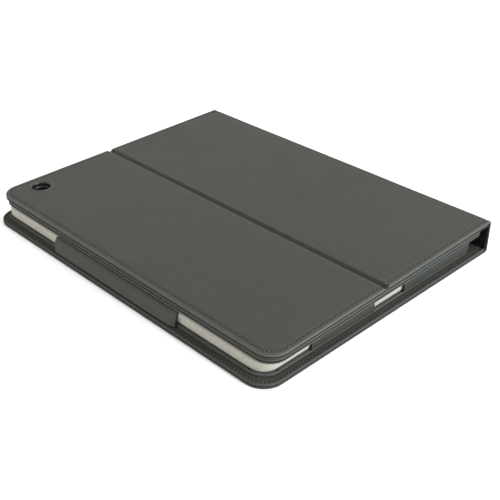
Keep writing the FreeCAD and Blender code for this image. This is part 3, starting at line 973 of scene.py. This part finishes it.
def plate_piece(name, slot, low, high, shown_up):
    """One ply of the holder back."""
    bm = bmesh.new()
    x1 = high.x - PLATE_TRIM_DOCK
    y0 = low.y + PLATE_TRIM_OPENING
    face = rectangle(bm, low.x, x1, y0, high.y, 0, PLATE_CORNER, PLATE_FAR_CORNER)
    raise_face(bm, [face], PLY)
    soften(bm, list(widest(bm, 1).edges), PLATE_ROUND, 4)
    soften(bm, list(widest(bm, -1).edges), SEAM_ROUND, 2)
    # The shown ply gets painted shade in the gap under the flap; rims get wear and a painted highlight.
    paint_edges(bm, low.x, x1, y0, PLATE_CORNER, 0.0, 0.9 if shown_up else 0.0)
    lay(bm, PLATE_TOP - PLY if shown_up else PLATE_UNDER + PLY, shown_up)
    cut_across(bm, "x", spread(low.x, high.x, PLATE_STEP))
    cut_across(bm, "y", spread(low.y, high.y, PLATE_STEP))
    lean(bm, plate_lift)
    piece = to_piece(bm, name, slot)
    middle = (plate_ring_low + plate_ring_high) / 2
    punch(piece, middle.x, middle.y, plate_ring_high.x - plate_ring_low.x)
    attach(piece, "back_panel")
    return piece


def holder():
    """The tablet holder: back, walls, front frame and their stitches."""
    skin = plate_piece("holder_plate_leather", "leather", plate_low, plate_high, True)
    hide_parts("holder_plate_skin")
    under = plate_piece("holder_plate_suede", "lining", plate_under_low, plate_under_high, False)
    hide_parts("holder_plate_lining")
    opening_wall()
    dock_wall()
    rear_wall()
    corner = insert_corner() - BEZEL_TRIM
    frame_piece("holder_bezel_face", "leather", bezel_low, bezel_high, corner, BEZEL_WIDE,
                ["holder_bezel_leather"])
    frame_piece("holder_bezel_suede", "lining", bezel_top_low, bezel_top_high, corner, BEZEL_WIDE,
                ["holder_bezel_lining"])
    wall_stitches()


def wall_stitches():
    """Row of stitches along the top of the dock walls."""
    drop = 2.1 * MM
    bm = bmesh.new()
    runs = ((dock_low.y, dock_high.y), (rear_low_y_at_dock(), rear_high.y - insert_corner()))
    for y0, y1 in runs:
        for i, (x, y, _) in enumerate(line_places((0, y0 + 2 * MM, 0), (0, y1 - 1 * MM, 0))):
            shape = Matrix.Diagonal((0.22 * MM, 1.1 * MM, 0.28 * MM, 1))
            slant = Matrix.Rotation(math.radians(7 + 3 * math.sin(i * 1.9)), 4, "X")
            z = PLATE_UNDER + plate_lift(y) - drop
            spot = Matrix.Translation((dock_high.x - 0.02 * MM, y, z)) @ slant
            bmesh.ops.create_uvsphere(bm, matrix=spot @ shape, **STITCH_SIDES)
    piece = to_piece(bm, "holder_wall_stitches", "thread", 80)
    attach(piece, "back_panel")
    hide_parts("holder_wall_thread")


def turned_ring(name, slot, body, centre, section, nodes):
    """Ring turned from a closed section of (radius, height) points."""
    bm = bmesh.new()
    verts = [bm.verts.new((centre.x + r, centre.y, z)) for r, z in section]
    edges = [bm.edges.new((a, b)) for a, b in zip(verts, verts[1:] + verts[:1])]
    bmesh.ops.spin(bm, geom=verts + edges, cent=(centre.x, centre.y, 0), axis=(0, 0, 1),
                   angle=math.tau, steps=RING_STEPS, use_merge=True, dvec=(0, 0, 0))
    # Paler all over, as wear and a painted highlight, where the finish reads it (the leather rim).
    wear = bm.verts.layers.float.new("wear")
    for vert in bm.verts:
        vert[wear] = 0.45
    piece = to_piece(bm, name, slot, 45)
    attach(piece, body)
    if nodes:
        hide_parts(*nodes)


def camera_window():
    """Round window through the flap with its leather rim, and the one behind it."""
    ring_wall = 0.9 * MM
    centre = (camera_low + camera_high) / 2
    outer = (camera_high.x - camera_low.x) / 2
    tube = outer - ring_wall
    lift = back_lift(centre.y)
    low = BACK_UNDER + lift + 0.1 * MM
    top = BACK_TOP + lift
    section = [(tube, low), (outer + 0.1 * MM, low), (outer + 0.1 * MM, top - 0.9 * MM),
               (outer - 0.1 * MM, top - 0.55 * MM), (outer - 0.45 * MM, top - 0.45 * MM),
               (tube + 0.1 * MM, top - 0.65 * MM), (tube, top - 1.0 * MM)]
    turned_ring("stand_flap_window_ring", "ring", "stand_flap", centre, section,
                ["stand_flap_camera_ring"])
    bead = 0.62 * MM
    middle = (outer + 0.25 * MM, top - 0.3 * MM)
    section = [(middle[0] + bead * math.cos(a), middle[1] + bead * math.sin(a))
               for a in [math.tau * i / 12 for i in range(12)]]
    turned_ring("stand_flap_window_rim", "leather", "stand_flap", centre, section, [])
    centre = (plate_ring_low + plate_ring_high) / 2
    outer = (plate_ring_high.x - plate_ring_low.x) / 2
    tube = outer - ring_wall
    low = plate_ring_low.z
    high = plate_ring_high.z
    section = [(tube, low), (outer, low), (outer, high - 0.15 * MM), (outer - 0.2 * MM, high),
               (tube + 0.2 * MM, high), (tube, high - 0.2 * MM)]
    turned_ring("holder_window_ring", "ring", "back_panel", centre, section,
                ["holder_plate_camera_ring"])


# --- packing insert -------------------------------------------------------------------
def insert():
    """Foam block cut to the tablet's size, slightly knocked about."""
    edge_round = 1.7 * MM
    foam_step = 5 * MM
    knock_deep = 0.13 * MM
    bm = bmesh.new()
    face = rectangle(bm, insert_low.x, insert_high.x, insert_low.y, insert_high.y, insert_low.z,
                     TABLET_CORNER, TABLET_CORNER, 12)
    raise_face(bm, [face], insert_high.z - insert_low.z)
    soften(bm, list(widest(bm, 1).edges) + list(widest(bm, -1).edges), edge_round, 5)
    cut_across(bm, "x", spread(insert_low.x, insert_high.x, foam_step))
    cut_across(bm, "y", spread(insert_low.y, insert_high.y, foam_step))
    cut_across(bm, "z", spread(insert_low.z, insert_high.z, 1.5 * MM))
    bm.normal_update()
    for vert in bm.verts:
        knock = noise.noise(vert.co * 120) * 0.5 + noise.noise(vert.co * 420) * 0.5
        vert.co += vert.normal * (knock - 0.6) * knock_deep
    piece = to_piece(bm, "packing_foam", "foam", 60)
    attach(piece, "packing_insert")
    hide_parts("packing_insert")


# --- floor and light ------------------------------------------------------------------
def floor():
    """Plain pale floor just under the case."""
    under = -0.05 * MM
    it = Finish("floor")
    where = it.place()
    tone = it.speckle(where, 400 * MM, 2.0, 0.5)
    base = it.blend_colours(tone, (0.955, 0.955, 0.955, 1), (0.975, 0.975, 0.975, 1))
    it.seal(Base_Color=base, Roughness=0.9, Specular_IOR_Level=0.1)
    bm = bmesh.new()
    bmesh.ops.create_grid(bm, x_segments=8, y_segments=8, size=4.0,
                          matrix=Matrix.Translation((0, 0, under)))
    mesh = bpy.data.meshes.new("floor")
    bm.to_mesh(mesh)
    bm.free()
    ground = bpy.data.objects.new("floor", mesh)
    mesh.materials.append(it.material)
    bpy.context.scene.collection.objects.link(ground)


def lamp(name, where, size, power, colour):
    """Soft rectangular light aimed at the case."""
    data = bpy.data.lights.new(name, "AREA")
    data.shape = "RECTANGLE"
    data.size, data.size_y = size
    data.energy = power
    data.color = colour
    light = bpy.data.objects.new(name, data)
    bpy.context.scene.collection.objects.link(light)
    aim = Vector((0, 0, 0.01)) - Vector(where)
    turn = aim.to_track_quat("-Z", "Y").to_matrix().to_4x4()
    light.matrix_world = Matrix.Translation(where) @ turn


def lights():
    """Even studio light, cool from the dock side and warm from the opening side."""
    world = bpy.data.worlds.new("studio")
    world.use_nodes = True
    sky = world.node_tree.nodes["Background"]
    sky.inputs["Color"].default_value = (1, 1, 1, 1)
    sky.inputs["Strength"].default_value = 1.12
    bpy.context.scene.world = world
    lamp("key", (1.7, 0.45, 0.7), (0.9, 0.9), 50.0, (0.9, 0.965, 1.0))
    lamp("over", (0.3, 1.2, 1.5), (1.4, 1.2), 8.0, (1.0, 1.0, 0.98))
    lamp("fill", (-1.1, -1.5, 0.55), (1.4, 0.8), 8.0, (1.0, 0.975, 0.9))
    bpy.context.scene.view_settings.view_transform = "Standard"
    bpy.context.scene.view_settings.look = "None"


front_cover()
back_cover()
sew_covers()
holder()
camera_window()
insert()
floor()
lights()
for subpart in frame["record"]["subparts"]:
    node = frame["nodes"][subpart["node"]]
    for place in node.material_slots:
        place.material = FINISHES[subpart["material_slot"]]

bpy.context.view_layer.update()
